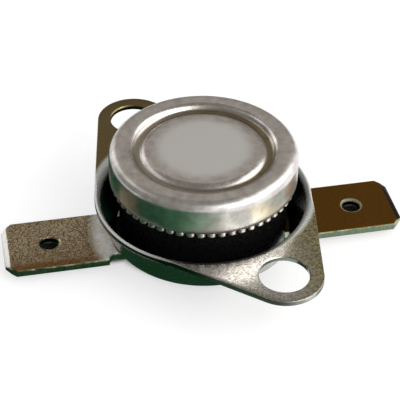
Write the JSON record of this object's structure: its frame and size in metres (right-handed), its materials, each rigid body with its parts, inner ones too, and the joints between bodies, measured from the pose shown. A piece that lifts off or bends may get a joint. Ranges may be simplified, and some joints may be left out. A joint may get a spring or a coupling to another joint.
{
  "type": "bimetal thermostat",
  "caption": "Snap-action bimetal disc thermostat: round aluminium cap on a dark moulded base, flat push-on blades and a loose turnable flange with mounting ears.",
  "frame": {"origin": "on the switch's axis, at the foot of the rivet heads", "axes": "+X along the right blade, +Z along the switch's axis towards the cap"},
  "size_m": [0.0358, 0.0304, 0.0102],
  "materials": {
    "cap": "satin drawn aluminium",
    "bimetal": "rolled bimetal",
    "guide": "moulded phenolic",
    "pin": "unglazed ceramic",
    "base": "black moulded phenolic",
    "spring_alloy": "rolled copper alloy",
    "contact": "silver contact",
    "strip": "stamped brass",
    "terminal": "plated, grainy",
    "rivet": "plated",
    "flange": "zinc plated, satin"
  },
  "bodies": {
    "housing": {"cap": "cap", "bimetal_disc": "bimetal", "disc_guide": "guide", "base": "base", "contact_strip": "strip", "fixed_contact": "contact", "left_terminal": "terminal", "right_terminal": "terminal", "left_rivet": "rivet", "right_rivet": "rivet"},
    "flange": {"flange": "flange"},
    "pin": {"push_pin": "pin"},
    "arm": {"contact_arm": "spring_alloy", "moving_contact": "contact"}
  },
  "joints": [
    {"name": "flange_turn", "type": "hinge", "parent": "housing", "child": "flange", "pos_m": [0, 0, 0.0053], "axis": [0, 0, 1], "continuous": true},
    {"name": "pin_slide", "type": "slide", "parent": "housing", "child": "pin", "axis": [0, 0, -1], "range_m": [0, 0.00045], "stiffness_N_per_m": 400, "springref_m": -0.0005, "deforming": ["bimetal_disc"]},
    {"name": "arm_flex", "type": "hinge", "parent": "housing", "child": "arm", "pos_m": [-0.00335, 0, 0.0042], "axis": [0, 1, 0], "range_deg": [0, 7.7], "deforming": ["contact_arm"]}
  ],
  "couplings": [
    {"joint": "arm_flex", "follows": "pin_slide", "rad_per_m": 298.51}
  ]
}
